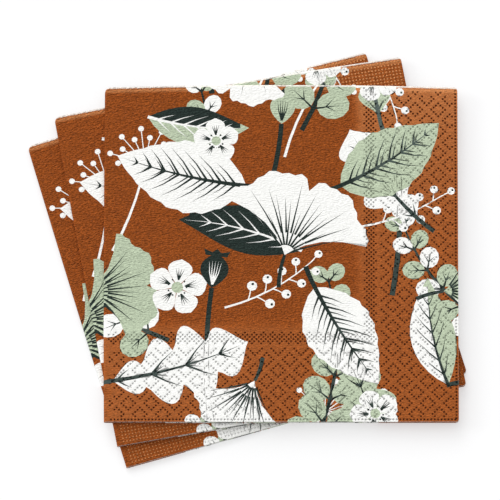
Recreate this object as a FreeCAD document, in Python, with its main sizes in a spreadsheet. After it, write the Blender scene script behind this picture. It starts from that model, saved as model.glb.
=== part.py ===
import FreeCAD, Part
import math
import os

import Sketcher
from FreeCAD import Vector

# Stack of paper napkins
# Three square paper napkins, each one sheet folded in half twice, lie fanned on one another.
# The first fold, the crease, runs along the far edge, and the second, the spine, along the
# left edge. The right and front edges are open, and show four layers.
# Frame: X to the right and Y away from the viewer, both along the edges of the top napkin.
# Z is up, and the origin is on the table under the middle of the bottom napkin.
# Millimetres and degrees.

doc = FreeCAD.newDocument("NapkinStack")

# Driving sizes

SIZES = [
    ("PanelSide", 165.0, "side of the folded napkin, measured over its folds"),
    ("SheetThickness", 0.30, "three plies of tissue, pressed together by the embossing"),
    ("LayerGap", 0.25, "air between the two layers that the crease joins"),
    ("PairGap", 0.30, "air between the two pairs of layers that the spine joins"),
    ("LayerSetback", 0.5, "how far an outer layer stands back from the inner one"),
    ("PairSetback", 0.4, "how far the lower pair stands back at the right edge"),
    ("CreaseCornerRadius", 2.0, "where the crease ends at the right edge"),
    ("OpenCornerRadius", 1.4, "corner without a fold, at the front right"),
    ("BandInset", 44.0, "from the open edges to the far side of the pressed band"),
    ("BandWidth", 5.8, "pressed band that frames the plain field"),
    ("CrimpInset", 1.9, "from the open edges to the far side of the crimp beside them"),
    ("CrimpWidth", 0.8, "crimp that holds the plies together at the open edges"),
    ("PressDepth", 0.06, "how far the band and the crimp are pressed into the sheet"),
    ("SeatGap", 0.02, "air between one napkin and the next"),
    ("MiddleTurn", 10.47, "middle napkin, counter-clockwise from above"),
    ("MiddleShiftX", 6.06, "centre of the middle napkin, from that of the bottom one"),
    ("MiddleShiftY", 3.31, "the same, away from the viewer"),
    ("BottomTurn", 16.46, "bottom napkin, counter-clockwise from above"),
    ("TopShiftX", 16.18, "centre of the top napkin, from that of the bottom one"),
    ("TopShiftY", 1.02, "the same, away from the viewer"),
]

sizes = doc.addObject("Spreadsheet::Sheet", "Sizes")
for row, (alias, value, note) in enumerate(SIZES, start=1):
    sizes.set(f"A{row}", note)
    sizes.set(f"B{row}", str(value))
    sizes.setAlias(f"B{row}", alias)
doc.recompute()

# Lengths that follow from them

HALF_SIDE = "Sizes.PanelSide / 2"
CREASE_RADIUS = "(Sizes.SheetThickness + Sizes.LayerGap / 2)"
SPINE_RADIUS = f"(2 * {CREASE_RADIUS} + Sizes.PairGap / 2)"
SPINE_AXIS_X = f"({SPINE_RADIUS} - {HALF_SIDE})"
UPPER_REACH = f"{HALF_SIDE} - {SPINE_AXIS_X}"
LOWER_REACH = f"{UPPER_REACH} - Sizes.PairSetback"
NAPKIN_HEIGHT = f"2 * {SPINE_RADIUS}"
SEAT_PITCH = f"({NAPKIN_HEIGHT} + Sizes.SeatGap)"

# Ends of a sketch's lines and arcs, and its origin

START, END, CENTRE = 1, 2, 3
ORIGIN = (-1, 1)
QUARTER_TURN = math.pi / 2


def length(formula):
    return float(sizes.evalExpression(formula))


def line(sketch, start, end):
    return sketch.addGeometry(Part.LineSegment(Vector(*start, 0), Vector(*end, 0)))


def arc(sketch, centre, radius, first_angle, last_angle):
    circle = Part.Circle(Vector(*centre, 0), Vector(0, 0, 1), radius)
    return sketch.addGeometry(Part.ArcOfCircle(circle, first_angle, last_angle))


def rule(sketch, kind, *places):
    sketch.addConstraint(Sketcher.Constraint(kind, *places))


def dimension(sketch, name, kind, places, formula):
    """A named dimension, bound to the sizes."""
    index = sketch.addConstraint(Sketcher.Constraint(kind, *places, length(formula)))
    sketch.renameConstraint(index, name)
    sketch.setExpression(f"Constraints.{name}", formula)


def new_sketch(body, name, role, height):
    """A sketch on one of the body's own origin planes, moved along its normal."""
    sketch = body.newObject("Sketcher::SketchObject", name)
    plane = next(f for f in body.Origin.OriginFeatures if f.Role == role)
    sketch.AttachmentSupport = [(plane, "")]
    sketch.MapMode = "FlatFace"
    sketch.setExpression("AttachmentOffset.Base.z", height)
    return sketch


def outline(sketch, corners):
    """A closed outline of straight lines, with each corner dimensioned from the origin."""
    points = [(length(across), length(along)) for across, along in corners]
    sides = [line(sketch, here, there) for here, there in zip(points, points[1:] + points[:1])]
    for number, (across, along) in enumerate(corners):
        rule(sketch, "Coincident", sides[number - 1], END, sides[number], START)
        dimension(sketch, f"Across{number}", "DistanceX", (*ORIGIN, sides[number], START), across)
        dimension(sketch, f"Along{number}", "DistanceY", (*ORIGIN, sides[number], START), along)


def pair_section(body, name, side):
    """Two layers joined by the crease, cut across where the spine begins.

    The sketch's own level line is the axis of the spine. With side -1 the pair lies below it,
    with its outer layer at the bottom, and with side 1 above it.
    """
    sketch = new_sketch(body, name, "YZ_Plane", SPINE_AXIS_X)
    sketch.setExpression("AttachmentOffset.Base.y", SPINE_RADIUS)
    outer_tip, inner_tip = (START, END) if side < 0 else (END, START)
    front = -length(HALF_SIDE)
    stepped = front + length("Sizes.LayerSetback")
    nose = length(f"{HALF_SIDE} - {CREASE_RADIUS}")
    radius = length(CREASE_RADIUS)
    half_gap = length("Sizes.LayerGap / 2")
    middle = side * length(f"{SPINE_RADIUS} - {CREASE_RADIUS}")

    def run(start, end, depth):
        level = middle + side * depth
        made = line(sketch, (start, level), (end, level))
        rule(sketch, "Horizontal", made)
        return made

    outer_face = run(stepped, nose, radius)
    outer_back = run(nose, stepped, half_gap)
    inner_back = run(front, nose, -half_gap)
    inner_face = run(nose, front, -radius)
    crease = arc(sketch, (nose, middle), radius, -QUARTER_TURN, QUARTER_TURN)
    crease_back = arc(sketch, (nose, middle), half_gap, -QUARTER_TURN, QUARTER_TURN)
    outer_edge = line(sketch, (stepped, middle + side * half_gap), (stepped, middle + side * radius))
    inner_edge = line(sketch, (front, middle - side * radius), (front, middle - side * half_gap))

    rule(sketch, "Tangent", outer_face, END, crease, outer_tip)
    rule(sketch, "Tangent", inner_face, START, crease, inner_tip)
    rule(sketch, "Tangent", outer_back, START, crease_back, outer_tip)
    rule(sketch, "Tangent", inner_back, END, crease_back, inner_tip)
    rule(sketch, "Coincident", crease, CENTRE, crease_back, CENTRE)
    for edge, before, after in (
        (outer_edge, outer_back, outer_face),
        (inner_edge, inner_face, inner_back),
    ):
        rule(sketch, "Vertical", edge)
        rule(sketch, "Coincident", before, END, edge, START)
        rule(sketch, "Coincident", edge, END, after, START)

    dimension(sketch, "Front", "DistanceX", (inner_edge, START, *ORIGIN), HALF_SIDE)
    dimension(
        sketch, "Step", "DistanceX", (inner_edge, START, outer_edge, START), "Sizes.LayerSetback"
    )
    dimension(
        sketch, "Nose", "DistanceX", (*ORIGIN, crease, CENTRE), f"{HALF_SIDE} - {CREASE_RADIUS}"
    )
    dimension(sketch, "Outside", "Radius", (crease,), CREASE_RADIUS)
    dimension(sketch, "Inside", "Radius", (crease_back,), "Sizes.LayerGap / 2")
    dimension(
        sketch,
        "Level",
        "DistanceY",
        (*ORIGIN, crease, CENTRE),
        f"{side} * ({SPINE_RADIUS} - {CREASE_RADIUS})",
    )
    return sketch


def pad(body, name, sketch, reach):
    feature = body.newObject("PartDesign::Pad", name)
    feature.Profile = sketch
    feature.setExpression("Length", reach)
    return feature


def spine(body, sketch):
    """The pair turned half round the axis of the spine, on the left of it."""
    feature = body.newObject("PartDesign::Revolution", "Spine")
    feature.Profile = sketch
    feature.ReferenceAxis = (sketch, ["H_Axis"])
    feature.Angle = 180
    return feature


def pocket(body, name, sketch, depth, upward):
    """A cut that starts on the sketch, through everything or to a depth."""
    feature = body.newObject("PartDesign::Pocket", name)
    feature.Profile = sketch
    feature.Reversed = upward
    if depth:
        feature.setExpression("Length", depth)
    else:
        feature.Type = "ThroughAll"
    return feature


def corner_trim(body, name, side, radius):
    """Rounds a corner at the right edge: the far one with side 1, the front one with -1."""
    sketch = new_sketch(body, f"{name}Outline", "XY_Plane", NAPKIN_HEIGHT)
    size = length(radius)
    centre_x = length(HALF_SIDE) - size
    centre_y = side * centre_x
    edge_y, clear_y = centre_y + side * size, centre_y + side * 2 * size
    edge_x, clear_x = centre_x + size, centre_x + 2 * size
    first_angle = 0 if side > 0 else -QUARTER_TURN
    corner = arc(sketch, (centre_x, centre_y), size, first_angle, first_angle + QUARTER_TURN)
    on_right, on_end = (START, END) if side > 0 else (END, START)
    lines = [
        line(sketch, (centre_x, edge_y), (centre_x, clear_y)),
        line(sketch, (centre_x, clear_y), (clear_x, clear_y)),
        line(sketch, (clear_x, clear_y), (clear_x, centre_y)),
        line(sketch, (clear_x, centre_y), (edge_x, centre_y)),
    ]
    for made, kind in zip(lines, ("Vertical", "Horizontal", "Vertical", "Horizontal")):
        rule(sketch, kind, made)
    for made, after in zip(lines, lines[1:]):
        rule(sketch, "Coincident", made, END, after, START)
    rule(sketch, "Coincident", corner, on_end, lines[0], START)
    rule(sketch, "Coincident", corner, on_right, lines[3], END)
    rule(sketch, "Vertical", corner, CENTRE, corner, on_end)
    rule(sketch, "Horizontal", corner, CENTRE, corner, on_right)
    centre = (*ORIGIN, corner, CENTRE)
    dimension(sketch, "CentreX", "DistanceX", centre, f"{HALF_SIDE} - {radius}")
    dimension(sketch, "CentreY", "DistanceY", centre, f"{side} * ({HALF_SIDE} - {radius})")
    dimension(sketch, "Corner", "Radius", (corner,), radius)
    centre_to_clear = (corner, CENTRE, lines[1], END)
    dimension(sketch, "ClearX", "DistanceX", centre_to_clear, f"2 * {radius}")
    dimension(sketch, "ClearY", "DistanceY", centre_to_clear, f"{side} * 2 * {radius}")
    return pocket(body, name, sketch, None, False)


def edge_step(body, name, height, upward):
    """Cuts the outer layer back along the open right edge, down to the middle of its pair."""
    sketch = new_sketch(body, f"{name}Outline", "XY_Plane", height)
    near = f"{HALF_SIDE} - Sizes.LayerSetback"
    clear = f"({HALF_SIDE} + Sizes.LayerSetback)"
    outline(sketch, [(near, f"-{clear}"), (clear, f"-{clear}"), (clear, clear), (near, clear)])
    return pocket(body, name, sketch, CREASE_RADIUS, upward)


def pressed_strip(body, name, height, upward, inset, width):
    """Presses a strip into an outer layer, along the right and front edges."""
    sketch = new_sketch(body, f"{name}Outline", "XY_Plane", height)
    far = f"({HALF_SIDE} - {inset})"
    near = f"({far} + {width})"
    clear = f"({HALF_SIDE} + {width})"
    corners = [
        (far, clear),
        (far, f"-{far}"),
        (f"-{clear}", f"-{far}"),
        (f"-{clear}", f"-{near}"),
        (near, f"-{near}"),
        (near, clear),
    ]
    outline(sketch, corners)
    return pocket(body, name, sketch, "Sizes.PressDepth", upward)


def napkin(name, shift_x, shift_y, seat, turn):
    """One sheet folded in half twice, lying on its printed face."""
    body = doc.addObject("PartDesign::Body", name)
    body.Label = name
    lower = pair_section(body, "LowerPairSection", -1)
    upper = pair_section(body, "UpperPairSection", 1)
    pad(body, "LowerPair", lower, LOWER_REACH)
    spine(body, lower)
    pad(body, "UpperPair", upper, UPPER_REACH)
    cuts = [
        corner_trim(body, "CreaseCorner", 1, "Sizes.CreaseCornerRadius"),
        corner_trim(body, "OpenCorner", -1, "Sizes.OpenCornerRadius"),
    ]
    for side, height, upward in (("Upper", NAPKIN_HEIGHT, False), ("Lower", "0", True)):
        cuts += [
            edge_step(body, f"{side}EdgeStep", height, upward),
            pressed_strip(body, f"{side}Band", height, upward, "Sizes.BandInset", "Sizes.BandWidth"),
            pressed_strip(body, f"{side}Crimp", height, upward, "Sizes.CrimpInset", "Sizes.CrimpWidth"),
        ]
    body.setExpression("Placement.Base.x", shift_x)
    body.setExpression("Placement.Base.y", shift_y)
    body.setExpression("Placement.Base.z", seat)
    body.setExpression("Placement.Rotation.Angle", turn)
    return body, cuts


# The stack, from the table up

doc.recompute()
parts = [
    napkin("napkin_bottom", "0", "0", "0", "Sizes.BottomTurn"),
    napkin("napkin_middle", "Sizes.MiddleShiftX", "Sizes.MiddleShiftY", SEAT_PITCH, "Sizes.MiddleTurn"),
    napkin("napkin_top", "Sizes.TopShiftX", "Sizes.TopShiftY", f"2 * {SEAT_PITCH}", "0"),
]
doc.recompute()

# Nothing is written unless every step worked

for made in doc.Objects:
    if "Invalid" in made.State or "Error" in made.State:
        raise RuntimeError(f"{made.Label} did not compute: {made.State}")
for body, cuts in parts:
    if body.Shape.isNull() or not body.Shape.isValid() or len(body.Shape.Solids) != 1:
        raise RuntimeError(f"{body.Label} is not one valid solid")
    for cut in cuts:
        if cut.Shape.Volume >= cut.BaseFeature.Shape.Volume:
            raise RuntimeError(f"{cut.Label} of {body.Label} cuts nothing")

os.makedirs("parts", exist_ok=True)
for body, _ in parts:
    body.Shape.exportStep(f"parts/{body.Label}.step")
    box = body.Shape.BoundBox
    print(
        f"{body.Label}: volume {body.Shape.Volume:.1f} mm3,"
        f" x {box.XMin:.2f} to {box.XMax:.2f}, y {box.YMin:.2f} to {box.YMax:.2f},"
        f" z {box.ZMin:.2f} to {box.ZMax:.2f}"
    )
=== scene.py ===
import math

import bpy
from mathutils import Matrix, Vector
from mathutils.geometry import delaunay_2d_cdt
from mathutils.kdtree import KDTree


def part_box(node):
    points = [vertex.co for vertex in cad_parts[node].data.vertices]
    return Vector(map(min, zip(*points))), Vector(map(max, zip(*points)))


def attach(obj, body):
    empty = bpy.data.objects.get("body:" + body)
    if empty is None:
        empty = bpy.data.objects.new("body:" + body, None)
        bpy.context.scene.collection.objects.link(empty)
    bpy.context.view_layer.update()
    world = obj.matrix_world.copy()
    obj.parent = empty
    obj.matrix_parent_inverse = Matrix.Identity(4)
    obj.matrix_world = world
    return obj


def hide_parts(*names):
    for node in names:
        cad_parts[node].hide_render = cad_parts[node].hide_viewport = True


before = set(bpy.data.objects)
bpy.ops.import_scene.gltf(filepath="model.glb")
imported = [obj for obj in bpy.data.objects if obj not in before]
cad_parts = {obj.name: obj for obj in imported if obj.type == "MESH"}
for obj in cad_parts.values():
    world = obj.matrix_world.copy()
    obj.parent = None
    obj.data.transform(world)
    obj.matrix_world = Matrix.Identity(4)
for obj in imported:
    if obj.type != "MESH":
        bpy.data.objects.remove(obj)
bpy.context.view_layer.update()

MM = 0.001
scene = bpy.context.scene
scene.view_settings.view_transform = "Standard"

# Camera
# It looks down on the stack from the front and from far away, so that the edges of the
# napkins stay parallel in the picture.

VIEW_ELEVATION = math.radians(70.84)
VIEW_WIDTH = 233.2 * MM
LENS = 1100.0
SENSOR = 36.0
VIEW_CENTRE = Vector((1.58, 2.95, 6.04)) * MM

camera = bpy.data.objects.new("camera", bpy.data.cameras.new("camera"))
scene.collection.objects.link(camera)
scene.camera = camera
camera.data.lens = LENS
camera.data.sensor_width = SENSOR
view_distance = VIEW_WIDTH * LENS / SENSOR
camera.data.clip_end = 4 * view_distance
toward_camera = Vector((0, -math.cos(VIEW_ELEVATION), math.sin(VIEW_ELEVATION)))
camera.location = VIEW_CENTRE + toward_camera * view_distance
camera.rotation_euler = toward_camera.to_track_quat("Z", "Y").to_euler()

# Light and floor
# Wide soft lamps behind the stack, at its left and above it, an even white surround, and a
# plain white floor that takes the shadow. From beneath, the floor is clear.


def linear(red, green, blue):
    """A colour as read from a screen, 0 to 255, in the linear values that shaders use."""
    parts = [value / 255 for value in (red, green, blue)]
    return [v / 12.92 if v <= 0.04045 else ((v + 0.055) / 1.055) ** 2.4 for v in parts] + [1.0]


class Value:
    """A socket of a node tree that can stand in an expression, which adds the Math nodes."""

    def __init__(self, graph, socket):
        self.graph = graph
        self.socket = socket

    def math(self, operation, *others):
        inputs = {number: value for number, value in enumerate((self, *others))}
        return self.graph.add("ShaderNodeMath", inputs, operation=operation)

    def __add__(self, other):
        return self.math("ADD", other)

    def __radd__(self, other):
        return self.math("ADD", other)

    def __sub__(self, other):
        return self.math("SUBTRACT", other)

    def __rsub__(self, other):
        return self.graph.add("ShaderNodeMath", {0: other, 1: self}, operation="SUBTRACT")

    def __mul__(self, other):
        return self.math("MULTIPLY", other)

    def __rmul__(self, other):
        return self.math("MULTIPLY", other)

    def __truediv__(self, other):
        return self.math("DIVIDE", other)

    def clamped(self, low=0.0, high=1.0):
        return self.math("MAXIMUM", low).math("MINIMUM", high)

    def output(self, name):
        """Another output of the same node."""
        return Value(self.graph, self.socket.node.outputs[name])


class Graph:
    """Adds nodes to a tree: settings first, then the values or links of the sockets."""

    def __init__(self, tree):
        self.tree = tree

    def add(self, kind, sockets=None, out=0, **settings):
        node = self.tree.nodes.new(kind)
        for name, setting in settings.items():
            setattr(node, name, setting)
        for name, value in (sockets or {}).items():
            if isinstance(value, Value):
                self.tree.links.new(value.socket, node.inputs[name])
            else:
                node.inputs[name].default_value = value
        return Value(self, node.outputs[out]) if node.outputs else node

    def mix(self, share, first, second, blend="MIX"):
        """A colour between two, or one laid on the other."""
        sockets = {0: share, 6: first, 7: second}
        settings = {"data_type": "RGBA", "blend_type": blend}
        return self.add("ShaderNodeMix", sockets, out=2, **settings)


def shader_graph(name):
    material = bpy.data.materials.new(name)
    material.use_nodes = True
    material.node_tree.nodes.clear()
    return material, Graph(material.node_tree)


def lamp(name, direction, softness, strength):
    """A distant lamp, as wide in the sky as its softness in degrees."""
    made = bpy.data.objects.new(name, bpy.data.lights.new(name, "SUN"))
    scene.collection.objects.link(made)
    made.data.angle = math.radians(softness)
    made.data.energy = strength
    made.rotation_euler = Vector(direction).to_track_quat("Z", "Y").to_euler()


lamp("lamp_behind", (-0.3, 0.85, 0.42), 45, 1.45)
lamp("lamp_left", (-0.95, 0.2, 0.45), 25, 0.8)
lamp("lamp_above", (-0.2, 0.3, 1.0), 60, 0.35)


def looked_at(graph):
    """One where the camera looks, straight, by a reflection or through glass."""
    path = graph.add("ShaderNodeLightPath")
    return (path + path.output("Is Glossy Ray") + path.output("Is Transmission Ray")).clamped()


SURROUND = 0.66
world = bpy.data.worlds.new("surround")
scene.world = world
world.use_nodes = True
world.node_tree.nodes.clear()
graph = Graph(world.node_tree)
strength = SURROUND + looked_at(graph) * (1 - SURROUND)
sky = graph.add("ShaderNodeBackground", {"Color": (1, 1, 1, 1), "Strength": strength})
graph.add("ShaderNodeOutputWorld", {"Surface": sky})

FLOOR_HALF = 2.0
FLOOR_GLOW = 0.5
FLOOR_LEVEL = -0.1 * MM
floor_mesh = bpy.data.meshes.new("floor")
floor_corners = [(-1, -1), (1, -1), (1, 1), (-1, 1)]
floor_points = [(FLOOR_HALF * x, FLOOR_HALF * y, FLOOR_LEVEL) for x, y in floor_corners]
floor_mesh.from_pydata(floor_points, [], [(0, 1, 2, 3)])
floor = bpy.data.objects.new("floor", floor_mesh)
scene.collection.objects.link(floor)
floor_paint, graph = shader_graph("floor_paint")
shade = graph.add(
    "ShaderNodeBsdfPrincipled", {"Base Color": linear(252, 252, 253), "Roughness": 0.9}
)
glow = graph.add("ShaderNodeEmission", {"Strength": 1.0})
pale = graph.add("ShaderNodeMixShader", {0: looked_at(graph) * FLOOR_GLOW, 1: shade, 2: glow})
beneath = graph.add("ShaderNodeNewGeometry", out="Backfacing")
clear = graph.add("ShaderNodeBsdfTransparent")
pale_floor = graph.add("ShaderNodeMixShader", {0: beneath, 1: pale, 2: clear})
graph.add("ShaderNodeOutputMaterial", {"Surface": pale_floor})
floor_mesh.materials.append(floor_paint)
floor.visible_diffuse = False
floor.visible_shadow = False

# The sheet
# One square of three-ply tissue. It is folded in half about its crease, away from the
# viewer, and again about its spine, at the left. Millimetres in this section.
# P runs across the open sheet and Q up it: the quarter that ends on top has P > 0 and Q < 0.

low_corner, high_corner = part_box("napkin_top")
SIDE = (high_corner.x - low_corner.x) / MM
HEIGHT = (high_corner.z - low_corner.z) / MM
THICKNESS = 0.30
LAYER_GAP = 0.25
LAYER_SETBACK = 0.05
PAIR_SETBACK = 0.4
CREASE_CORNER = 2.0
OPEN_CORNER = 1.4
FOLD_CORNER = 2.4
GRID = 5.0

crease_radius = (LAYER_GAP + THICKNESS) / 2
spine_radius = HEIGHT / 2 - crease_radius - THICKNESS / 2
crease_line = SIDE / 2 - crease_radius - THICKNESS / 2
spine_line = HEIGHT / 2 - SIDE / 2
crease_wrap = crease_radius * math.pi / 2
spine_wrap = spine_radius * math.pi / 2

# How far each quarter reaches from the middle of the open sheet
reach_up = crease_line + SIDE / 2 + crease_wrap
reach_down = reach_up - LAYER_SETBACK
reach_across = SIDE / 2 - spine_line + spine_wrap
TOP_QUARTER = reach_across - LAYER_SETBACK
SECOND_QUARTER = reach_across
THIRD_QUARTER = reach_across - PAIR_SETBACK
LAST_QUARTER = reach_across - LAYER_SETBACK


def arc(x, y, radius, first, last, count=5):
    """Points on an arc, with its angles in degrees."""
    angles = [math.radians(first + (last - first) * k / count) for k in range(count + 1)]
    return [(x + radius * math.cos(a), y + radius * math.sin(a)) for a in angles]


def filled(points, step, closed):
    """The same line with points added so that none are further apart than a step."""
    made = []
    ends = points[1:] + points[:1] if closed else points[1:]
    for (x, y), (end_x, end_y) in zip(points, ends):
        count = max(1, math.ceil(math.hypot(end_x - x, end_y - y) / step))
        made += [(x + (end_x - x) * k / count, y + (end_y - y) * k / count) for k in range(count)]
    return made if closed else made + points[-1:]


def corner(across, up, quadrant):
    """A rounded corner of the open sheet."""
    side = (1, -1, -1, 1)[quadrant]
    rise = (1, 1, -1, -1)[quadrant]
    x, y = side * (across - OPEN_CORNER), rise * (up - OPEN_CORNER)
    return arc(x, y, OPEN_CORNER, 90 * quadrant, 90 * quadrant + 90)


def crease_end(across, side, rise):
    """The rounding where the crease meets an edge, on one side of the crease."""
    first = {(1, -1): 0, (1, 1): -90, (-1, 1): 180, (-1, -1): 90}[side, rise]
    x, y = side * (across - CREASE_CORNER), rise * CREASE_CORNER
    return arc(x, y, CREASE_CORNER, first, first + 90)


OUTLINE = filled(
    corner(TOP_QUARTER, reach_down, 3)
    + crease_end(TOP_QUARTER, 1, -1)
    + crease_end(SECOND_QUARTER, 1, 1)
    + corner(SECOND_QUARTER, reach_up, 0)
    + corner(THIRD_QUARTER, reach_up, 1)
    + crease_end(THIRD_QUARTER, -1, 1)
    + crease_end(LAST_QUARTER, -1, -1)
    + corner(LAST_QUARTER, reach_down, 2),
    GRID,
    closed=True,
)

# Straight lines on the sheet that let it turn round the folds
CREASE_STRIPS = 6
SPINE_STRIPS = 8
FOLD_LEVELS = [crease_wrap * (2 * k / CREASE_STRIPS - 1) for k in range(CREASE_STRIPS + 1)]
FOLD_COLUMNS = [spine_wrap * (2 * k / SPINE_STRIPS - 1) for k in range(SPINE_STRIPS + 1)]

# The print
# Flat inks on the outer ply: white, sage and dark plants on rust. One square design is
# repeated on the four quarters, so that it runs on over the folds. It is drawn here from
# a few kinds of leaf and flower, each placed one by one, in millimetres and degrees.

TILE = SIDE
RUST, WHITE, SAGE, DARK, BARE = range(5)


def along(length, bend, share):
    """Place and heading in degrees, a share of the way along an even bend from the origin."""
    turn = math.radians(bend)
    if abs(turn) < 0.001:
        return length * share, 0.0, 0.0
    radius = length / turn
    return radius * math.sin(turn * share), radius * (1 - math.cos(turn * share)), bend * share


def turned(point, angle):
    c, s = math.cos(math.radians(angle)), math.sin(math.radians(angle))
    return point[0] * c - point[1] * s, point[0] * s + point[1] * c


def placed(shapes, x, y, angle):
    """Shapes turned by an angle in degrees and moved to a place."""
    moved = []
    for ink, outline in shapes:
        spun = [turned(point, angle) for point in outline]
        moved.append((ink, [(x + u, y + v) for u, v in spun]))
    return moved


def ribbon(ink, length, bend, half_width, count):
    """A shape about an even bend. half_width(share) is half its width at a share of the way."""
    left, right = [], []
    for k in range(count + 1):
        x, y, heading = along(length, bend, k / count)
        out_x, out_y = turned((0, half_width(k / count)), heading)
        left.append((x + out_x, y + out_y))
        if k in (0, count) and half_width(k / count) == 0:
            continue
        right.append((x - out_x, y - out_y))
    return ink, right + left[::-1]


def stroke(ink, length, bend, thick, count=2, thin=0.0):
    """A stroke that tapers to a point, or to a width of its own."""
    return ribbon(ink, length, bend, lambda share: (thick + (thin - thick) * share) / 2, count)


def disc(ink, radius, squash=1.0, count=9):
    angles = [2 * math.pi * k / count for k in range(count)]
    return ink, [(radius * math.cos(a), radius * squash * math.sin(a)) for a in angles]


def leaf_width(width, belly, fullness):
    """Half width of a pointed leaf that is widest at the share belly of its length."""
    warp = math.log(0.5) / math.log(belly)

    def half_width(share):
        if share in (0, 1):
            return 0.0
        return width / 2 * math.sin(math.pi * share**warp) ** fullness

    return half_width


def side_veins(
    length, bend, half_width, pairs, first, last, angle, thick, reach, sweep, line=DARK
):
    """Pairs of veins that leave a leaf's rib at an angle and bend towards its tip."""
    shapes = []
    for k in range(pairs):
        share = first + (last - first) * k / (pairs - 1)
        x, y, heading = along(length, bend, share)
        run = half_width(min(0.97, share + 0.1)) * reach / math.sin(math.radians(angle))
        for side in (-1, 1):
            vein = stroke(line, run, -side * sweep, thick)
            shapes += placed([vein], x, y, heading + side * angle)
    return shapes


def broad_leaf(ink, length, width, bend, pairs):
    """A broad leaf with a gently waved edge, long and short side veins and a short stalk."""
    smooth = leaf_width(width, 0.42, 0.9)

    def waved(share):
        return smooth(share) * (1 + 0.035 * math.sin(pairs * 2 * math.pi * share))

    shapes = [stroke(DARK, -length * 0.2, -bend * 0.6, 2.0, 3, 2.5)]
    shapes.append(ribbon(ink, length, bend, waved, pairs * 3))
    shapes += side_veins(length, bend, smooth, pairs, 0.08, 0.84, 52, 1.15, 0.86, 18)
    shapes += side_veins(length, bend, smooth, pairs - 1, 0.14, 0.74, 50, 0.8, 0.5, 14)
    shapes.append(stroke(DARK, length * 0.97, bend * 0.97, 2.1, 6))
    return shapes


def half_lit_leaf(shade, light, length, width, bend, line=DARK):
    """A slender leaf whose upper half catches the light."""
    half_width = leaf_width(width, 0.45, 1.0)
    count = 12
    _, full = ribbon(shade, length, bend, half_width, count)
    rib = [along(length, bend, k / count)[:2] for k in range(count - 1, 0, -1)]
    shapes = [(shade, full), (light, full[count:] + rib[::-1])]
    shapes += side_veins(length, bend, half_width, 6, 0.1, 0.75, 36, 0.8, 0.78, 12, line)
    shapes.append(stroke(line, length * 0.97, bend * 0.97, 1.5, 6))
    return shapes


def fan_leaf(ink, radius, spread, rays):
    """A fan with a wavy rim, a notch in the middle and veins that run out from its foot."""
    rim = []
    count = 30
    for k in range(count + 1):
        share = k / count
        notch = 0.2 * math.exp(-(((share - 0.5) / 0.035) ** 2))
        wave = 0.03 * math.sin(share * 28) + 0.015 * math.sin(share * 72)
        reach = radius * (0.93 + wave - notch + 0.07 * math.sin(math.pi * share))
        rim.append(turned((reach, 0), spread * (2 * share - 1)))
    shares = (0.75, 0.5, 0.28, 0.12)
    flank = [turned((radius * 0.9 * share, 0), spread * (0.55 + 0.45 * share)) for share in shares]
    other = [(u, -v) for u, v in flank[::-1]]
    shapes = [stroke(DARK, -radius * 0.4, 20, 1.5, 4, 2.0), (ink, [(0, 0)] + other + rim + flank)]
    for k in range(rays):
        angle = spread * 0.9 * ((2 * k + 1) / rays - 1)
        foot = turned((radius * (0.12, 0.27)[k % 2], 0), angle * 0.8)
        run = radius * (0.62, 0.56, 0.44)[k % 3]
        shapes += placed([stroke(DARK, run, angle * 0.12, 1.0)], *foot, angle)
    return shapes


def lobed_leaf(ink, length, width, bend, lobes):
    """A leaf with round lobes on both sides of its rib."""
    smooth = leaf_width(width, 0.55, 0.7)

    def lobed(share):
        wave = abs(math.sin((share * lobes + 0.08) * math.pi)) ** 0.75
        return smooth(share) * (0.36 + 0.64 * wave)

    shapes = [stroke(DARK, -10, 10, 1.9, 3, 2.3), ribbon(ink, length, bend, lobed, lobes * 9)]
    for k in range(lobes):
        share = (k + 0.12) / lobes
        x, y, heading = along(length, bend, share)
        run = smooth(min(0.9, share + 0.12)) * 0.92
        for side in (-1, 1):
            shapes += placed([stroke(DARK, run, -side * 16, 1.2)], x, y, heading + side * 44)
            shapes += placed([stroke(DARK, run * 0.5, 0, 0.8, 1)], x, y, heading + side * 22)
    shapes.append(stroke(DARK, length * 0.94, bend * 0.94, 2.1, 6))
    return shapes


def coin_branch(inks, length, bend, pairs, radius):
    """A branch with pairs of round leaves that get smaller towards its tip."""
    shapes = [stroke(DARK, length, bend, 2.3, 8, 0.8)]
    for k in range(pairs):
        share = 0.12 + 0.84 * k / (pairs - 1)
        x, y, heading = along(length, bend, share)
        size = radius * (1 - 0.45 * share)
        for side in (-1, 1):
            ink = inks[(k + (side > 0)) % 2]
            coin = placed([disc(ink, size, 0.86, 12)], size * 1.22, 0, 0)
            coin.append(stroke(DARK, size * 1.75, 6 * side, 1.1))
            for hand in (-1, 1):
                coin += placed([stroke(DARK, size * 0.75, 0, 0.7, 1)], size * 0.8, 0, hand * 38)
            lean = side * (64 - 22 * share + 7 * math.sin(3.1 * k + side))
            shapes += placed(coin, x, y, heading + lean)
    return shapes


def berry_spray(length, bend, count, radius):
    """A twig with berries on short stalks to both sides and one at its tip."""
    shapes = [stroke(WHITE, length, bend, 1.0, 6, 0.5)]
    for k in range(count):
        share = 0.25 + 0.75 * k / (count - 1)
        x, y, heading = along(length, bend, share)
        side = (1, -1)[k % 2]
        size = radius * (1 - 0.25 * share)
        stalk = size * 2.2
        tip_x, tip_y, _ = along(stalk, side * 14, 1)
        fruit = [stroke(WHITE, stalk, side * 14, 0.6, 2, 0.5)]
        fruit += placed([disc(WHITE, size)], tip_x + size * 0.8, tip_y, 0)
        fruit += placed([disc(DARK, size * 0.3, 1, 5)], tip_x + size * 1.2, tip_y, 0)
        shapes += placed(fruit, x, y, heading + side * (48 if k < count - 1 else 0))
    return shapes


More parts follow.
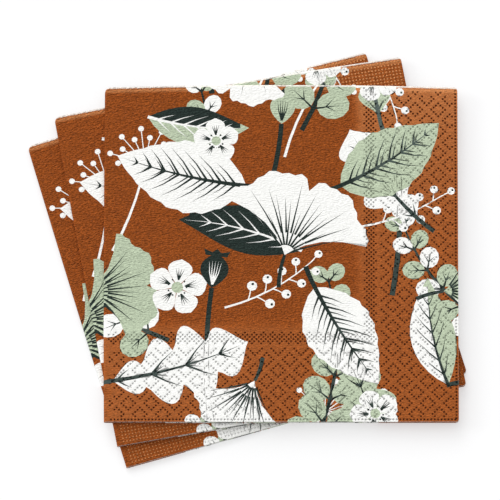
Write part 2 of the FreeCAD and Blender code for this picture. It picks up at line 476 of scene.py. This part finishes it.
def umbel(stem, bend, radius, rays):
    """A flower head of thin rays that end in round buds."""
    head = []
    for k in range(rays):
        reach = radius * (0.74, 1.0)[k % 2]
        ray = [stroke(WHITE, reach, 0, 0.5, 1, 0.4)] + placed([disc(WHITE, 1.4, 1, 8)], reach, 0, 0)
        head += placed(ray, 0, 0, -100 + 200 * k / (rays - 1))
    x, y, heading = along(stem, bend, 1)
    return [stroke(WHITE, stem, bend, 1.3, 5, 0.9)] + placed(head, x, y, heading)


def blossom(radius):
    """An open flower with five petals, fine lines and a round heart ringed with dots."""
    shapes = []
    half_width = leaf_width(radius * 0.82, 0.66, 0.75)
    for k in range(5):
        petal = [ribbon(WHITE, radius, 0, half_width, 9)]
        for angle in (-20, -7, 7, 20):
            petal += placed([stroke(DARK, radius * 0.46, 0, 0.75, 1)], radius * 0.26, 0, angle)
        shapes += placed(petal, 0, 0, 72 * k + 9)
    shapes.append(disc(SAGE, radius * 0.2, 1, 10))
    for k in range(9):
        shapes += placed([disc(DARK, 0.5, 1, 5)], *turned((radius * 0.31, 0), 40 * k), 0)
    return shapes


def pod(ink, stem, bend, length, line=DARK):
    """A seed pod with a jagged crown on a long stem."""
    body = [ribbon(ink, length, 0, leaf_width(length * 0.78, 0.55, 0.7), 10)]
    for angle in (-26, -13, 0, 13, 26):
        body += placed([stroke(line, length * 0.7, -angle * 0.9, 0.9)], length * 0.1, 0, angle)
    half_crown = [(0.93, 0.3), (1.1, 0.36), (1.03, 0.12), (1.14, 0.0)]
    crown = [(u, -v) for u, v in half_crown] + half_crown[2::-1]
    body.append((DARK, [(length * u, length * v) for u, v in crown]))
    x, y, heading = along(stem, bend, 1)
    return [stroke(DARK, stem, bend, 2.6, 8, 2.2)] + placed(body, x, y, heading)


# Each motif with its place on the tile and its heading, from the back of the print to its front

MOTIFS = [
    (pod(DARK, 70, -16, 17, WHITE), 50, -4, 98),
    (pod(WHITE, 60, 14, 15), 134, 62, 80),
    (pod(SAGE, 52, 20, 15), 70, 96, 66),
    (umbel(46, 18, 17, 13), 4, 84, 62),
    (umbel(44, -22, 16, 13), 84, 130, 76),
    (coin_branch((SAGE, SAGE), 98, 46, 8, 8.2), 92, -22, 60),
    (coin_branch((WHITE, SAGE), 84, -52, 7, 7.6), 30, 40, 160),
    (coin_branch((WHITE, SAGE), 66, 40, 6, 7.2), 40, 100, 66),
    (berry_spray(46, 28, 9, 2.6), 56, 56, 15),
    (berry_spray(42, -30, 8, 2.5), 116, 22, -46),
    (berry_spray(40, 24, 8, 2.5), 120, 96, 10),
    (half_lit_leaf(DARK, DARK, 60, 23, 26, WHITE), 92, 84, 152),
    (half_lit_leaf(SAGE, WHITE, 54, 21, -24), 160, 18, 112),
    (half_lit_leaf(SAGE, DARK, 48, 19, 22, WHITE), 20, 150, -18),
    (lobed_leaf(WHITE, 66, 38, 18, 4), 4, 20, 8),
    (lobed_leaf(WHITE, 54, 32, -20, 4), 146, 100, 136),
    (lobed_leaf(SAGE, 46, 28, 16, 3), 128, -14, 100),
    (broad_leaf(WHITE, 62, 35, -16, 8), 66, 116, 174),
    (broad_leaf(SAGE, 56, 31, 20, 7), 110, 116, 24),
    (broad_leaf(WHITE, 56, 32, 12, 8), 98, 66, -64),
    (fan_leaf(WHITE, 41, 64, 17), 84, 82, 70),
    (fan_leaf(SAGE, 33, 60, 15), 158, 64, 6),
    (fan_leaf(WHITE, 30, 58, 15), 70, 20, -118),
    (blossom(14), 34, 66, 0),
    (blossom(12), 126, 4, 30),
    (blossom(11), 52, 138, 12),
]


def printed_shapes():
    """Every shape of the design that touches the open sheet."""
    shapes = []
    for motif, x, y, angle in MOTIFS:
        for ink, outline in placed(motif, x, y - TILE, angle):
            across = [u for u, _ in outline]
            along_up = [v for _, v in outline]
            for column in (-2, -1, 0, 1):
                for row in (-1, 0, 1, 2):
                    shift_x, shift_y = column * TILE, row * TILE
                    if (
                        min(across) + shift_x < reach_across
                        and max(across) + shift_x > -reach_across
                        and min(along_up) + shift_y < reach_up
                        and max(along_up) + shift_y > -reach_up
                    ):
                        moved = [(u + shift_x, v + shift_y) for u, v in outline]
                        shapes.append((ink, moved))
    return shapes


# The embossing
# A steel roller presses small dots through the plies of the folded napkin and bonds them: a
# band, rosettes from there to the open edges, and a crimped row along these. On the two lower
# napkins the other face of the embossing is up, a square net of bumps over the same border.

# The roller's step in millimetres, then sizes counted in it from the open edges
STEP = 1.071
ROSETTE_START = 1.9
ROSETTE_FIRST = 3.38
ROSETTE_SPAN = 5
ROSETTE_REACH = 33.4
BAND_FIRST, BAND_LAST = 35, 40
BAND_SHIFT = 0.74

# Millimetres from here on. The rows of bumps are a count
DOT_RADIUS = 0.65
CRIMP_INSET = 1.0
CRIMP_STEP = 1.6
BUMP_STEP = 1.6
BUMP_ROWS = 25
FADE = 3.0

# A dot closer than this to an open edge or a fold is left out
CLEAR_OF_EDGE = DOT_RADIUS + 0.1
CLEAR_OF_CREASE = 1.3
CLEAR_OF_SPINE = 2.4

# Twelve dots about a centre: four close to it and eight on a ring
ROSETTE = [
    spun
    for u, v in ((2, 0), (3, 1), (3, -1))
    for spun in ((u, v), (-v, u), (-u, -v), (v, -u))
]


def in_band(column, row):
    """A dot of the band, which is thinner along its two edges."""
    near, far = min(column, row), max(column, row)
    if (column + row) % 2 or not BAND_FIRST <= near <= BAND_LAST:
        return False
    return near not in (BAND_FIRST, BAND_LAST) or far // 2 % 2 == 0


def on_outer_quarters(places):
    """Places given from the open edges, on the top and the bottom quarter of the open sheet."""
    return [
        (side * (reach - from_side), from_front - reach_down)
        for from_side, from_front in places
        if CLEAR_OF_EDGE <= from_side <= SIDE - CLEAR_OF_SPINE
        and CLEAR_OF_EDGE <= from_front <= SIDE - CLEAR_OF_CREASE
        for reach, side in ((TOP_QUARTER, 1), (LAST_QUARTER, -1))
    ]


def pressed_dots():
    count = int(SIDE / STEP)
    steps_in = [
        (column + BAND_SHIFT, row + BAND_SHIFT)
        for column in range(count)
        for row in range(count)
        if in_band(column, row)
    ]
    for column in range(count // ROSETTE_SPAN):
        for row in range(column % 2, count // ROSETTE_SPAN, 2):
            for across, up in ROSETTE:
                place = (
                    ROSETTE_FIRST + ROSETTE_SPAN * column + across,
                    ROSETTE_FIRST + ROSETTE_SPAN * row + up,
                )
                if ROSETTE_START < min(place) <= ROSETTE_REACH:
                    steps_in.append(place)
    places = [(across * STEP, up * STEP) for across, up in steps_in]
    for k in range(1, int(SIDE / CRIMP_STEP)):
        places.append((CRIMP_INSET, k * CRIMP_STEP))
        places.append((k * CRIMP_STEP, CRIMP_INSET))
    return on_outer_quarters(places)


def raised_bumps():
    count = range(1, int(SIDE / BUMP_STEP))
    places = [
        (column * BUMP_STEP, row * BUMP_STEP)
        for column in count
        for row in count
        if min(column, row) <= BUMP_ROWS
    ]
    return on_outer_quarters(places)


# The open sheet
# A closed skin of one sheet, still flat: the printed face carries the print's outlines and
# the embossing as triangles of its own, the bare face is plain, and a thin rim joins the two.

BARE_GRID = 6.0
JOIN = 1e-4
LINE_MATCH = 1e-3
HALF_THICKNESS = THICKNESS / 2
SHARP_ANGLE = math.radians(60)
PRINT_SHARE = 0.86
BARE_SHARE = 0.12


class Drawing:
    """Points, lines and shapes for one triangulation."""

    def __init__(self, border):
        self.points = list(border)
        self.lines = []
        self.shapes = [list(range(len(border)))]
        self.inks = [RUST]

    def add(self, places):
        first = len(self.points)
        self.points += places
        return list(range(first, len(self.points)))

    def add_line(self, places, ends=()):
        line = self.add(places)
        if ends:
            line = [ends[0], *line, ends[1]]
        self.lines += zip(line, line[1:])

    def add_shape(self, ink, places):
        pairs = zip(places, places[1:] + places[:1])
        area = sum(x * next_y - next_x * y for (x, y), (next_x, next_y) in pairs)
        self.shapes.append(self.add(places if area > 0 else places[::-1]))
        self.inks.append(ink)

    def triangles(self):
        """Points, triangles inside the border, each one's topmost ink, each point's sources."""
        points, _, faces, sources, _, drawn = delaunay_2d_cdt(
            [Vector(place) for place in self.points], self.lines, self.shapes, 0, JOIN, True
        )
        inside = [number for number, under in enumerate(drawn) if 0 in under]
        used = sorted({corner for number in inside for corner in faces[number]})
        renumbered = {old: new for new, old in enumerate(used)}
        triangles = [[renumbered[corner] for corner in faces[number]] for number in inside]
        inks = [self.inks[max(drawn[number])] for number in inside]
        return [points[old] for old in used], triangles, inks, [sources[old] for old in used]


def border_of(triangles):
    """The corners round the triangles' outer edge, in order."""
    sides = {(a, b) for face in triangles for a, b in zip(face, face[1:] + face[:1])}
    following = {a: b for a, b in sides if (b, a) not in sides}
    start = next(iter(following))
    border = [start]
    while following[border[-1]] != start:
        border.append(following[border[-1]])
    if len(border) != len(following):
        raise RuntimeError("the open sheet has more than one edge")
    return border


def inks_along(border, triangles, inks):
    """The ink at each step of the border, which soaks into the cut edge there."""
    known = {}
    for face, ink in zip(triangles, inks):
        known.update({side: ink for side in zip(face, face[1:] + face[:1])})
    return [known[side] for side in zip(border, border[1:] + border[:1])]


def steps(reach, step):
    count = math.ceil(reach / step)
    return [reach * k / count for k in range(1 - count, count)]


def grid(step):
    """Places all over the sheet, clear of the strips along the folds."""
    return [
        (p, q)
        for p in steps(reach_across, step)
        for q in steps(reach_up, step)
        if abs(p) > spine_wrap + step / 4 and abs(q) > crease_wrap + step / 4
    ]


def around_fold_corner():
    """Places close to the middle of the sheet, where the two folds cross."""
    near = [FOLD_CORNER * k / 4 for k in range(1, 6)]
    return [
        (side * (spine_wrap + across), rise * (crease_wrap + up))
        for side in (-1, 1)
        for rise in (-1, 1)
        for across in near
        for up in near
    ]


def printed_face(shapes, dots, sides):
    """The triangles of the printed face, with every dot drawn as a small disc."""
    close = [FOLD_CORNER * k / 4 for k in range(-6, 7)]
    face = Drawing(OUTLINE)
    for level in FOLD_LEVELS:
        face.add_line([(p, level) for p in sorted(close + steps(reach_across + GRID, GRID))])
    for column in FOLD_COLUMNS:
        face.add_line([(column, q) for q in sorted(close + steps(reach_up + GRID, GRID))])
    face.add(grid(GRID) + around_fold_corner())
    for p, q in dots:
        face.add([(p, q)] + arc(p, q, DOT_RADIUS, 0, 360, sides)[:-1])
    for ink, shape in shapes:
        face.add_shape(ink, shape)
    return face.triangles()


def bare_face(edge):
    """The triangles of the bare face, inside the same edge."""
    face = Drawing(edge)

    def fold_line(axis, level, reach):
        """A line along a fold from one side of the edge to the other."""
        other = 1 - axis
        met = [k for k, point in enumerate(edge) if abs(point[axis] - level) < LINE_MATCH]
        low = max((k for k in met if edge[k][other] < 0), key=lambda k: edge[k][other])
        high = min((k for k in met if edge[k][other] > 0), key=lambda k: edge[k][other])
        inner = [
            place
            for place in steps(reach, BARE_GRID)
            if edge[low][other] + 1 < place < edge[high][other] - 1
        ]
        face.add_line([(p, level) if axis else (level, p) for p in inner], (low, high))

    for level in FOLD_LEVELS:
        fold_line(1, level, reach_across)
    for column in FOLD_COLUMNS:
        fold_line(0, column, reach_up)
    face.add(grid(BARE_GRID))
    return face.triangles()


def open_sheet(name, shapes, dots, sides, between):
    """The sheet as a mesh. Between its dots it comes back by a share of their depth."""
    points, faces, inks, _ = printed_face(shapes, dots, sides)
    border = border_of(faces)
    bare_points, bare_faces, _, sources = bare_face([tuple(points[corner]) for corner in border])
    behind = {
        source: number
        for number, known in enumerate(sources)
        for source in known
        if source < len(border)
    }
    if len(border_of(bare_faces)) != len(border):
        raise RuntimeError("the two faces of the sheet have different edges")

    edge_inks = inks_along(border, faces, inks)
    first = len(points)
    corners = [(p, q, HALF_THICKNESS) for p, q in points]
    corners += [(p, q, -HALF_THICKNESS) for p, q in bare_points]
    faces += [[first + corner for corner in face[::-1]] for face in bare_faces]
    for here, corner_here in enumerate(border):
        there = (here + 1) % len(border)
        faces.append([corner_here, first + behind[here], first + behind[there], border[there]])
    bare_count = len(bare_faces)
    inks += [BARE] * bare_count + edge_inks

    mesh = bpy.data.meshes.new(name)
    mesh.from_pydata([(p * MM, q * MM, w * MM) for p, q, w in corners], [], faces, shade_flat=False)
    mesh.set_sharp_from_angle(angle=SHARP_ANGLE)
    mesh.attributes.new("ink", "INT", "FACE").data.foreach_set("value", inks)

    nearest = KDTree(len(dots))
    for number, (p, q) in enumerate(dots):
        nearest.insert((p, q, 0), number)
    nearest.balance()

    def pressed(p, q, w):
        """How far the roller moves a place: 1 in a dot's middle, a little back between dots."""
        away = nearest.find((p, q, 0))[2]
        if w < 0 or away > 2 * FADE:
            return 0.0
        return max(1 - (1 + between) * away / DOT_RADIUS, -between * min(1.0, 2 - away / FADE))

    press = [pressed(*corner) for corner in corners]
    mesh.attributes.new("press", "FLOAT", "POINT").data.foreach_set("value", press)

    # The bake map follows the flat sheet, with the bare face small
    map_scale = 1 / (2 * max(reach_across, reach_up))
    bake_map = mesh.uv_layers.new(name="OFBake")
    for polygon in mesh.polygons:
        bare = inks[polygon.index] == BARE
        share, start = (BARE_SHARE, 1 - BARE_SHARE) if bare else (PRINT_SHARE, 0.0)
        for loop in polygon.loop_indices:
            p, q, _ = corners[mesh.loops[loop].vertex_index]
            u, v = p * map_scale + 0.5, q * map_scale + 0.5
            bake_map.data[loop].uv = (start + u * share, v * share)
    return mesh


shapes = printed_shapes()
dotted_sheet = open_sheet("dotted_sheet", shapes, pressed_dots(), sides=5, between=0.236)
bumped_sheet = open_sheet("bumped_sheet", shapes, raised_bumps(), sides=4, between=-0.06)

# The paper
# Soft tissue, creped in fine wrinkles. The ink sinks in unevenly. Painted highlights lie along the
# tight crease, on its nose and where the embossing raises the paper, and painted shade lies in the
# pressed dots.

INKS = {
    RUST: linear(149, 75, 25),
    WHITE: linear(245, 245, 242),
    SAGE: linear(185, 198, 171),
    DARK: linear(38, 50, 46),
    BARE: linear(248, 247, 243),
}
# Painted highlights on rust and on dark ink, where the embossing raises the paper and along the
# crease
HIGHLIGHT_RUST = linear(236, 160, 102)
HIGHLIGHT_DARK = linear(150, 166, 158)
# Painted shade for the pressed dots on rust
PIT_SHADE = linear(58, 22, 8)
# Painted highlight on the nose of the crease
NOSE_HIGHLIGHT = linear(250, 246, 238)

# How uneven the ink is, then heights of the bump and the half width and middle of the painted
# crease highlight, in millimetres
INK_MOTTLE = 0.3
INK_FIBRES = 2.3
CREPE_HEIGHT = 1.3
PALE_CREPE_HEIGHT = 0.35
DOT_RELIEF = 0.6
CREASE_HIGHLIGHT_HALF_WIDTH = 1.4
CREASE_HIGHLIGHT_MIDDLE = 1.5


def tissue_paper():
    """The material. Pale, rust, dark, pit shade, raised, nose highlight and so on are shares from 0
    to 1.
    """
    material, graph = shader_graph("printed_tissue")
    flat = graph.add("ShaderNodeAttribute", out="Vector", attribute_name="flat")
    press = graph.add("ShaderNodeAttribute", out="Fac", attribute_name="press")
    ink = graph.add("ShaderNodeAttribute", out="Fac", attribute_name="ink")
    place = graph.add("ShaderNodeVectorMath", {0: flat, 3: 1 / MM}, operation="SCALE")

    def noise(stretch, scale, detail, roughness=0.5):
        stretched = graph.add("ShaderNodeMapping", {"Vector": place, "Scale": stretch})
        sockets = {"Vector": stretched, "Scale": scale, "Detail": detail, "Roughness": roughness}
        return graph.add("ShaderNodeTexNoise", sockets)

    def only(wanted):
        return 1 - (ink - wanted).math("ABSOLUTE").math("MINIMUM", 1.0)

    mottle = noise((1, 1, 1), 0.45, 3, 0.6) - 0.5
    fibres = noise((0.5, 1.2, 1), 2.4, 2, 0.6) - 0.5
    crepe = noise((0.45, 1.1, 1), 1.7, 0) - 0.5
    colour = INKS[RUST]
    for number in (WHITE, SAGE, DARK, BARE):
        colour = graph.mix(only(number), colour, INKS[number])
    pale = only(WHITE) + only(BARE) + only(SAGE) * 0.65
    rust, dark = only(RUST), only(DARK)
    cloudy = (mottle * INK_MOTTLE + fibres * INK_FIBRES) * (1 - 0.88 * pale)
    # Painted shade in the pressed dots: every ink is darker there, and rust goes towards a deep
    # brown
    pit_shade = (press * 2.5).clamped()
    level = 1 + cloudy - pit_shade * (0.24 * pale + 0.55 * dark)
    grey = graph.add("ShaderNodeCombineColor", {0: level, 1: level, 2: level})
    colour = graph.mix(1.0, colour, grey, "MULTIPLY")
    colour = graph.mix(pit_shade * rust * 0.95, colour, PIT_SHADE)
    # Painted highlight where the embossing raises the paper, stronger towards the crease and the
    # spine
    highlight_ink = graph.mix(dark, HIGHLIGHT_RUST, HIGHLIGHT_DARK)

    across = graph.add("ShaderNodeSeparateXYZ", {0: place})
    up = across.output("Y").math("ABSOLUTE")
    across = across.math("ABSOLUTE")
    toward_crease = (1 - up / SIDE).math("POWER", 4.0)
    toward_spine = (1 - across / SIDE).math("POWER", 2.0)
    highlight_strength = 0.9 + 3.4 * toward_crease + 0.9 * toward_spine
    raised = (0 - press).clamped().math("POWER", 1.8)
    colour = graph.mix((raised * highlight_strength).clamped(0.0, 0.95) * (rust + dark), colour, highlight_ink)

    # Painted highlight in a band along the rounded crease, on rust only
    past_crease = up - crease_wrap + fibres * 0.8
    from_highlight_middle = (past_crease - CREASE_HIGHLIGHT_MIDDLE).math("ABSOLUTE")
    crease_highlight = (1 - from_highlight_middle / CREASE_HIGHLIGHT_HALF_WIDTH).clamped() * 0.5
    colour = graph.mix(crease_highlight * rust, colour, HIGHLIGHT_RUST)
    # A near-white painted highlight on the nose of the crease
    nose_highlight = ((0.55 - past_crease) / 0.4).clamped() * (0.88 + past_crease.clamped(-0.5, 0.0))
    colour = graph.mix(nose_highlight, colour, NOSE_HIGHLIGHT)

    embossed = (press.math("ABSOLUTE") * 6).clamped()
    crepe_height = CREPE_HEIGHT - (CREPE_HEIGHT - PALE_CREPE_HEIGHT) * pale
    relief = crepe * crepe_height * (1 - 0.6 * embossed) - press * DOT_RELIEF
    bump = graph.add("ShaderNodeBump", {"Strength": 1.0, "Distance": MM, "Height": relief})
    surface = graph.add(
        "ShaderNodeBsdfPrincipled",
        {
            "Base Color": colour,
            "Roughness": 0.92 + 0.1 * mottle,
            "Normal": bump,
            "Specular IOR Level": 0.15,
        },
    )
    graph.add("ShaderNodeOutputMaterial", {"Surface": surface})
    return material


# Folding
# The same steps for each napkin, in the order of the folding machine: press the dots, fold
# the far half under along the crease, fold the left half under along the spine, then turn
# the napkin and lay it on the stack.

FLOAT, VECTOR, MATERIAL = "NodeSocketFloat", "NodeSocketVector", "NodeSocketMaterial"
FOLD_INPUTS = [
    ("Dot Depth", FLOAT),
    ("Dot Sign", FLOAT),
    ("Crease Radius", FLOAT),
    ("Crease Line", FLOAT),
    ("Spine Radius", FLOAT),
    ("Spine Line", FLOAT),
    ("Half Side", FLOAT),
    ("Half Height", FLOAT),
    ("Crease Bow", FLOAT),
    ("Spine Bow", FLOAT),
    ("Fold Corner", FLOAT),
    ("Turn", FLOAT),
    ("Place", VECTOR),
    ("Wave", FLOAT),
    ("Wave Scale", FLOAT),
    ("Paper", MATERIAL),
]

# The share of the fold corner by which it is drawn in, where the two folds meet
DRAWN_IN = 0.3


def folding_tree():
    tree = bpy.data.node_groups.new("fold_napkin", "GeometryNodeTree")
    tree.interface.new_socket("Sheet", in_out="INPUT", socket_type="NodeSocketGeometry")
    for name, kind in FOLD_INPUTS:
        tree.interface.new_socket(name, in_out="INPUT", socket_type=kind)
    tree.interface.new_socket("Napkin", in_out="OUTPUT", socket_type="NodeSocketGeometry")
    graph = Graph(tree)
    given = graph.add("NodeGroupInput").socket.node.outputs

    def size(name):
        return Value(graph, given[name])

    def fold(reach, height, radius):
        """A layer wrapped half round a fold: how far past its line, and how high, it ends up."""
        half_turn = (reach / radius).clamped(-math.pi / 2, math.pi / 2)
        spare = (reach.math("ABSOLUTE") - radius * (math.pi / 2)).math("MAXIMUM", 0.0)
        arm = radius + height
        return arm * half_turn.math("COSINE") - spare, arm * half_turn.math("SINE")

    def bowed(level, other):
        """How much of a bow a place has: all of it in the middle of the fold, none at its ends."""
        along_fold = 1 - (other / size("Half Side")).math("POWER", 2.0)
        toward_fold = (level / size("Half Side")).clamped().math("POWER", 2.0)
        return along_fold * toward_fold

    flat = graph.add("GeometryNodeInputPosition")
    kept = graph.add(
        "GeometryNodeStoreNamedAttribute",
        {"Geometry": size("Sheet"), "Name": "flat", "Value": flat},
        data_type="FLOAT_VECTOR",
    )
    press = graph.add("GeometryNodeInputNamedAttribute", {"Name": "press"})
    signed = press * size("Dot Sign")
    kept = graph.add(
        "GeometryNodeStoreNamedAttribute", {"Geometry": kept, "Name": "press", "Value": signed}
    )
    across = graph.add("ShaderNodeSeparateXYZ", {0: flat})
    up, height = across.output("Y"), across.output("Z")

    height = height - signed * size("Dot Depth")
    past_crease, below = fold(up, height, size("Crease Radius"))
    y = size("Crease Line") + past_crease
    past_spine, above = fold(across, 0 - below, size("Spine Radius"))
    x = size("Spine Line") - past_spine
    z = size("Half Height") + above
    rounding = size("Fold Corner")
    from_spine = ((x + size("Half Side")) / rounding).clamped()
    from_crease = ((size("Half Side") - y) / rounding).clamped()
    drawn_in = ((1 - from_spine) * (1 - from_crease)).math("POWER", 1.5) * rounding * DRAWN_IN
    bowed_x = x - size("Spine Bow") * bowed(0 - x, y) + drawn_in
    bowed_y = y + size("Crease Bow") * bowed(y, x) - drawn_in

    napkin = graph.add("ShaderNodeCombineXYZ", {0: bowed_x, 1: bowed_y, 2: z})
    turned_napkin = graph.add(
        "ShaderNodeVectorRotate",
        {"Vector": napkin, "Angle": size("Turn")},
        rotation_type="Z_AXIS",
    )
    laid = graph.add("ShaderNodeVectorMath", {0: turned_napkin, 1: size("Place")}, operation="ADD")
    laid_x = graph.add("ShaderNodeSeparateXYZ", {0: laid})
    laid_y, laid_z = laid_x.output("Y"), laid_x.output("Z")
    ground_place = graph.add("ShaderNodeCombineXYZ", {0: laid_x, 1: laid_y})
    waves = graph.add("ShaderNodeTexNoise", {"Vector": ground_place, "Scale": size("Wave Scale")})
    waved_z = laid_z * (1 + (waves - 0.5) * size("Wave"))
    final = graph.add("ShaderNodeCombineXYZ", {0: laid_x, 1: laid_y, 2: waved_z})

    shaped = graph.add("GeometryNodeSetPosition", {"Geometry": kept, "Position": final})
    covered = graph.add("GeometryNodeSetMaterial", {"Geometry": shaped, "Material": size("Paper")})
    whole = graph.add("GeometryNodeRealizeInstances", {"Geometry": covered})
    graph.add("NodeGroupOutput", {"Napkin": whole})
    return tree


# The napkins
# Three alike, fanned out one on the other. Each rests on the one below, or on the table.

fold_napkin = folding_tree()
paper = tissue_paper()
CREASE_BOW = 1.3
SPINE_BOW = 0.3
WAVE = 0.06
WAVE_SCALE = 14.0
DOT_DEPTH = 0.22
BUMP_HEIGHT = 0.06
PRESSED, RAISED = 1.0, -1.0


def lay_napkin(name, sheet, turn, x, y, dot_depth, dot_sign):
    """Folds a sheet, turns it by an angle in degrees and lays it at a place in millimetres."""
    node = f"napkin_{name}"
    place = Vector((x * MM, y * MM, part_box(node)[0].z))
    values = {
        "Dot Depth": dot_depth * MM,
        "Dot Sign": dot_sign,
        "Crease Radius": crease_radius * MM,
        "Crease Line": crease_line * MM,
        "Spine Radius": spine_radius * MM,
        "Spine Line": spine_line * MM,
        "Half Side": SIDE / 2 * MM,
        "Half Height": HEIGHT / 2 * MM,
        "Crease Bow": CREASE_BOW * MM,
        "Spine Bow": SPINE_BOW * MM,
        "Fold Corner": FOLD_CORNER * MM,
        "Turn": math.radians(turn),
        "Place": place,
        "Wave": WAVE,
        "Wave Scale": WAVE_SCALE,
        "Paper": paper,
    }
    napkin = bpy.data.objects.new(f"printed_{node}", sheet)
    scene.collection.objects.link(napkin)
    folding = napkin.modifiers.new("folding", "NODES")
    folding.node_group = fold_napkin
    for socket in fold_napkin.interface.items_tree:
        if socket.in_out == "INPUT" and socket.name in values:
            folding[socket.identifier] = values[socket.name]
    bpy.context.view_layer.update()
    evaluated = napkin.evaluated_get(bpy.context.evaluated_depsgraph_get())
    folded = bpy.data.meshes.new_from_object(evaluated)
    napkin.modifiers.remove(folding)
    napkin.data = folded
    folded.name = napkin.name
    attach(napkin, "root")
    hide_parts(node)
    return napkin


bottom = lay_napkin("bottom", bumped_sheet, 16.46, 0.0, 0.0, BUMP_HEIGHT, RAISED)
middle = lay_napkin("middle", bumped_sheet, 10.47, 6.06, 3.31, BUMP_HEIGHT, RAISED)
lay_napkin("top", dotted_sheet, 0.0, 16.18, 1.02, DOT_DEPTH, PRESSED)
